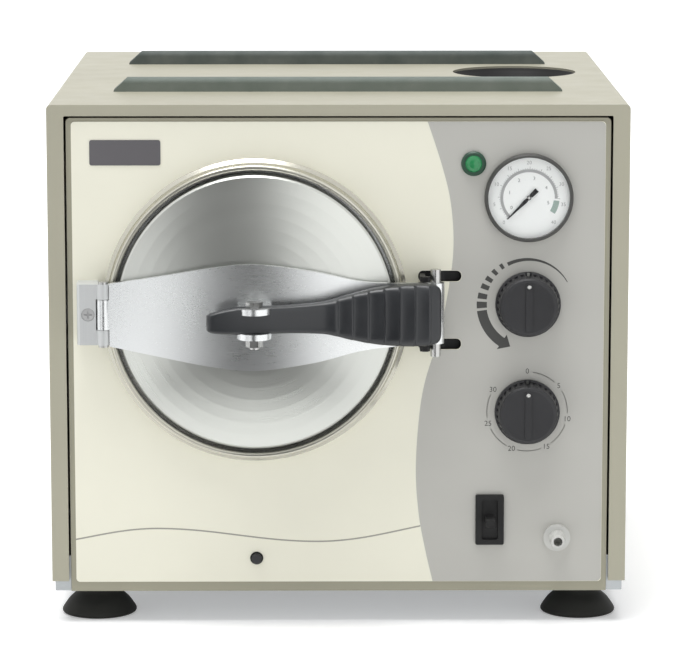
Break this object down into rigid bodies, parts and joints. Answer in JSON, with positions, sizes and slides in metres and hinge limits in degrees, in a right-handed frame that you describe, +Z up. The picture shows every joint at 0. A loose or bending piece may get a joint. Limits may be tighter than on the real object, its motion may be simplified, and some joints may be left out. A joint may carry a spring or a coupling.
{
  "type": "benchtop autoclave",
  "caption": "Table-top steam steriliser with a round pressure door under a hinged cross bar, lever handle, gauge, knobs and four rubber feet.",
  "frame": {"origin": "on the table, under the middle of the whole box", "axes": "+Z up, the door and controls face -Y, +X is to the right seen from the front"},
  "size_m": [0.3872, 0.4514, 0.3587],
  "materials": {
    "cabinet_paint": "fine satin",
    "panel_paint": "satin",
    "galvanised": "zinc plated",
    "overlay_film": "printed film, matt",
    "screw_steel": "bright plated",
    "foot_rubber": "matt",
    "rail_plastic": "matt grained",
    "black_plastic": "matt",
    "tank_plastic": "natural",
    "stainless": "2B",
    "insulation": "woven glass",
    "polished_steel": "polished",
    "dark_steel": "heat darkened",
    "brass": "turned",
    "copper": "drawn copper",
    "valve_plastic": "matt",
    "bezel_grey": "semi gloss",
    "dial_white": "matt white",
    "pointer_black": "matt",
    "clear_lens": "clear",
    "lamp_green_dark": "gloss",
    "lamp_green": "tinted",
    "knob_plastic": "matt moulded",
    "ceramic_white": "glazed",
    "black_steel": "matt black",
    "satin_steel": "satin, long grain",
    "spun_steel": "spun satin",
    "silicone": "smooth",
    "handle_plastic": "fine grained"
  },
  "bodies": {
    "cabinet": {"cover": "cabinet_paint", "base_pan": "galvanised", "front_panel": "panel_paint", "front_overlay": "overlay_film", "rear_panel": "panel_paint", "cover_screws": "screw_steel", "feet": "foot_rubber", "foot_screws": "screw_steel", "top_rails": "rail_plastic", "fill_funnel": "black_plastic", "reservoir": "tank_plastic", "reservoir_lid": "tank_plastic", "chamber": "stainless", "chamber_cradles": "galvanised", "insulation_jacket": "insulation", "door_collar": "polished_steel", "dam_plate": "stainless", "tray_rack": "stainless", "upper_tray": "stainless", "lower_tray": "stainless", "heating_element": "dark_steel", "safety_valve": "brass", "control_valve": "brass", "fill_tube": "copper", "vent_tube": "copper", "drain_valve": "valve_plastic", "drain_tube": "tank_plastic", "gauge_case": "bezel_grey", "gauge_dial": "dial_white", "gauge_lens": "clear_lens", "lamp_holder": "lamp_green_dark", "lamp_lens": "lamp_green", "thermostat": "galvanised", "timer": "galvanised", "lever_bezel": "black_plastic", "reset_thermostat": "black_plastic", "terminal_block": "ceramic_white", "power_inlet": "black_plastic", "hinge_bracket": "stainless", "hinge_screws": "screw_steel", "hinge_pin": "screw_steel", "latch_guide": "black_steel"},
    "door_arm": {"cross_bar": "satin_steel", "latch_pin": "screw_steel", "pivot_clevis": "satin_steel", "pivot_bolt": "screw_steel", "pivot_nut": "screw_steel"},
    "door": {"door_disc": "spun_steel", "door_gasket": "silicone"},
    "lever_handle": {"handle": "handle_plastic"},
    "latch": {"latch_hooks": "black_steel"},
    "temperature_control": {"temperature_knob": "knob_plastic"},
    "timer_control": {"timer_knob": "knob_plastic"},
    "fill_vent_lever": {"valve_lever": "black_plastic"},
    "reset": {"reset_button": "knob_plastic"},
    "pointer": {"gauge_pointer": "pointer_black"}
  },
  "joints": [
    {"name": "door_swing", "type": "hinge", "parent": "cabinet", "child": "door_arm", "pos_m": [-0.155, -0.17885, 0.2129], "axis": [0, 0, -1], "range_deg": [0, 110]},
    {"name": "handle_turn", "type": "hinge", "parent": "door_arm", "child": "lever_handle", "pos_m": [-0.055, -0.21475, 0.2129], "axis": [0, 0, -1], "range_deg": [0, 40]},
    {"name": "door_press", "type": "slide", "parent": "door_arm", "child": "door", "axis": [0, -1, 0], "range_m": [0, 0.00205]},
    {"name": "latch_slide", "type": "slide", "parent": "cabinet", "child": "latch", "axis": [1, 0, 0], "range_m": [0, 0.0031]},
    {"name": "temperature_turn", "type": "hinge", "parent": "cabinet", "child": "temperature_control", "pos_m": [0.1255, -0.16275, 0.2169], "axis": [0, 1, 0], "range_deg": [-150, 60]},
    {"name": "timer_turn", "type": "hinge", "parent": "cabinet", "child": "timer_control", "pos_m": [0.1255, -0.16275, 0.1444], "axis": [0, 1, 0], "range_deg": [0, 303]},
    {"name": "fill_vent_turn", "type": "hinge", "parent": "cabinet", "child": "fill_vent_lever", "pos_m": [0.101, -0.14475, 0.071], "axis": [1, 0, 0], "range_deg": [-25, 25]},
    {"name": "reset_press", "type": "slide", "parent": "cabinet", "child": "reset", "axis": [0, 1, 0], "range_m": [0, 0.002], "stiffness_N_per_m": 400},
    {"name": "pointer_turn", "type": "hinge", "parent": "cabinet", "child": "pointer", "pos_m": [0.1255, -0.16575, 0.2882], "axis": [0, 1, 0], "range_deg": [0, 270], "stiffness_Nm_per_rad": 0.002}
  ],
  "couplings": [
    {"joint": "door_press", "follows": "handle_turn", "m_per_rad": 0.002865}
  ]
}
